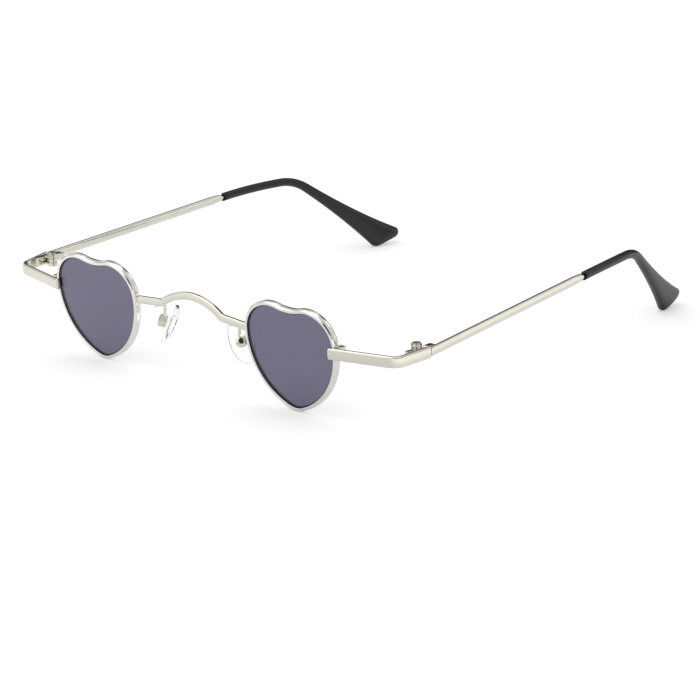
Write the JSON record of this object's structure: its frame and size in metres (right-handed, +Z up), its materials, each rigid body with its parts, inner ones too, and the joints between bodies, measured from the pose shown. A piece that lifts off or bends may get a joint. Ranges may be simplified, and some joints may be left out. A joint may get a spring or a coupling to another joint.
{
  "type": "heart shaped sunglasses",
  "caption": "Small sunglasses with heart shaped tinted lenses in wire rims, an arched bridge, rocking nose pads and flat folding temples with moulded tips.",
  "frame": {"origin": "on the surface the glasses stand on, below the middle of their bounding box", "axes": "+Z up; +Y from the lenses towards the temple tips; +X towards the wearer's left"},
  "size_m": [0.14, 0.1525, 0.0296],
  "materials": {
    "plated_metal": "polished nickel plating on a copper-nickel alloy",
    "tinted_lens": "polished, smoke tinted",
    "moulded_tip": "satin gloss black, moulded",
    "clear_pad": "clear, soft, moulded",
    "clear_insert": "clear, hard, moulded"
  },
  "bodies": {
    "front": {"bridge": "plated_metal", "left_rim": "plated_metal", "right_rim": "plated_metal", "left_lens": "tinted_lens", "right_lens": "tinted_lens", "left_closing_block": "plated_metal", "right_closing_block": "plated_metal", "left_closing_screw": "plated_metal", "right_closing_screw": "plated_metal", "left_pad_arm": "plated_metal", "right_pad_arm": "plated_metal", "left_pad_box": "plated_metal", "right_pad_box": "plated_metal", "left_pad_screw": "plated_metal", "right_pad_screw": "plated_metal", "left_endpiece": "plated_metal", "right_endpiece": "plated_metal", "left_front_hinge_leaf": "plated_metal", "right_front_hinge_leaf": "plated_metal", "left_hinge_screw": "plated_metal", "right_hinge_screw": "plated_metal"},
    "left_temple_body": {"left_temple": "plated_metal", "left_temple_tip": "moulded_tip", "left_rear_hinge_leaf": "plated_metal"},
    "right_temple_body": {"right_temple": "plated_metal", "right_temple_tip": "moulded_tip", "right_rear_hinge_leaf": "plated_metal"},
    "left_pad_body": {"left_nose_pad": "clear_pad", "left_pad_insert": "clear_insert"},
    "right_pad_body": {"right_nose_pad": "clear_pad", "right_pad_insert": "clear_insert"}
  },
  "joints": [
    {"name": "left_temple_fold", "type": "hinge", "parent": "front", "child": "left_temple_body", "pos_m": [0.06585, -0.06118, 0.02032], "axis": [0, 0, 1], "range_deg": [0, 90]},
    {"name": "right_temple_fold", "type": "hinge", "parent": "front", "child": "right_temple_body", "pos_m": [-0.06585, -0.06118, 0.02032], "axis": [0, 0, -1], "range_deg": [0, 84]},
    {"name": "left_pad_rock", "type": "hinge", "parent": "front", "child": "left_pad_body", "pos_m": [0.0142, -0.07018, 0.01447], "axis": [0.6014, 0.6933, 0.3971], "range_deg": [-8, 8]},
    {"name": "right_pad_rock", "type": "hinge", "parent": "front", "child": "right_pad_body", "pos_m": [-0.0142, -0.07018, 0.01447], "axis": [-0.6014, 0.6933, 0.3971], "range_deg": [-8, 8]}
  ]
}
